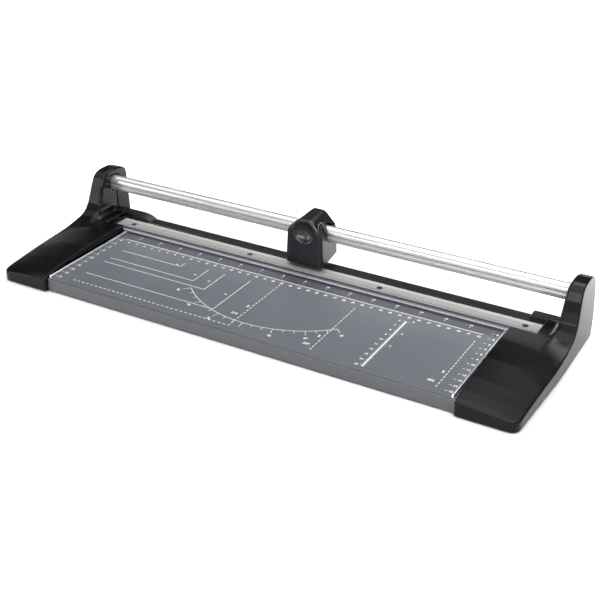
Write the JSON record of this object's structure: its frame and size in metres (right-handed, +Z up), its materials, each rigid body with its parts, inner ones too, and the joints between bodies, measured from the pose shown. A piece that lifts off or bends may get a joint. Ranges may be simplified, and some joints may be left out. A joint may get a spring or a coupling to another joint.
{
  "type": "rotary paper trimmer",
  "caption": "Long bench paper trimmer: a flat printed bed between moulded ends, with a rotary cutter head that slides along a raised guide rail and presses down to cut.",
  "frame": {"origin": "on the table under the middle of the whole trimmer: the centre of its box in X and Y, at the underside of the rubber feet", "axes": "+X along the guide rail from the left end to the right end as the user sees it, +Y from the user's edge to the cutting edge at the back, +Z up"},
  "size_m": [0.564, 0.196, 0.0716],
  "materials": {
    "bed_metal": "satin grey-violet paint on folded sheet steel",
    "printed_sheet": "blue-grey printed sheet with white scales",
    "aluminium": "bright satin",
    "rail_aluminium": "fine drawn satin along its length",
    "cutting_steel": "ground along its length",
    "blade_steel": "ground disc with a bevelled edge",
    "spring_steel": "drawn spring wire and strip",
    "dark_screw": "blackened steel",
    "black_plastic": "satin black moulding with a fine texture",
    "cover_plastic": "plain matt black",
    "backing_plastic": "satin black",
    "head_plastic": "satin dark grey",
    "grip_plastic": "smooth semi-gloss black",
    "clear_plastic": "clear acrylic",
    "nylon": "natural nylon",
    "felt": "dark felt pad",
    "rubber": "matt rubber"
  },
  "bodies": {
    "base": {"bed_plate": "bed_metal", "grid_sheet": "printed_sheet", "side_guide_left": "aluminium", "side_guide_right": "aluminium", "steel_cutting_strip": "cutting_steel", "rear_backing_strip": "backing_plastic", "strip_screw_1": "dark_screw", "strip_screw_2": "dark_screw", "strip_screw_3": "dark_screw", "strip_screw_4": "dark_screw", "clamp_pin_left": "dark_screw", "clamp_pin_right": "dark_screw", "clamp_spring_left": "spring_steel", "clamp_spring_right": "spring_steel", "left_end_cap": "black_plastic", "right_end_cap": "black_plastic", "left_bottom_cover": "cover_plastic", "right_bottom_cover": "cover_plastic", "left_end_block": "backing_plastic", "right_end_block": "backing_plastic", "rail_bolt_left": "dark_screw", "rail_bolt_right": "dark_screw", "cover_screw_left_1": "dark_screw", "cover_screw_left_2": "dark_screw", "cover_screw_right_1": "dark_screw", "cover_screw_right_2": "dark_screw", "rubber_foot_left_1": "rubber", "rubber_foot_left_2": "rubber", "rubber_foot_right_1": "rubber", "rubber_foot_right_2": "rubber", "guide_rail": "rail_aluminium"},
    "clamp": {"clamp_bar": "clear_plastic"},
    "head": {"head_carriage": "head_plastic", "glide_bush_left": "nylon", "glide_bush_right": "nylon", "retainer_screw_left": "dark_screw", "retainer_screw_right": "dark_screw", "grip_spring_left": "spring_steel", "grip_spring_right": "spring_steel"},
    "grip": {"head_cover": "grip_plastic", "clamp_shoe": "felt", "blade_carrier": "head_plastic", "carrier_screw_left": "dark_screw", "carrier_screw_right": "dark_screw", "blade_axle": "cutting_steel", "axle_clip": "spring_steel"},
    "blade": {"blade": "blade_steel", "blade_hub": "nylon"}
  },
  "joints": [
    {"name": "head_slide", "type": "slide", "parent": "base", "child": "head", "axis": [1, 0, 0], "range_m": [-0.2155, 0.2315]},
    {"name": "grip_press", "type": "slide", "parent": "head", "child": "grip", "axis": [0, 0, -1], "range_m": [0, 0.002], "stiffness_N_per_m": 1500, "springref_m": -0.002, "deforming": ["grip_spring_left", "grip_spring_right"]},
    {"name": "blade_spin", "type": "hinge", "parent": "grip", "child": "blade", "pos_m": [-0.008, 0.0652, 0.03], "axis": [0, 1, 0], "continuous": true},
    {"name": "clamp_press", "type": "slide", "parent": "base", "child": "clamp", "axis": [0, 0, -1], "range_m": [0, 0.0005], "stiffness_N_per_m": 1500, "springref_m": -0.0006, "deforming": ["clamp_spring_left", "clamp_spring_right"]}
  ],
  "couplings": [
    {"joint": "blade_spin", "follows": "head_slide", "rad_per_m": 71.429},
    {"joint": "clamp_press", "follows": "grip_press", "ratio": 0.25}
  ]
}
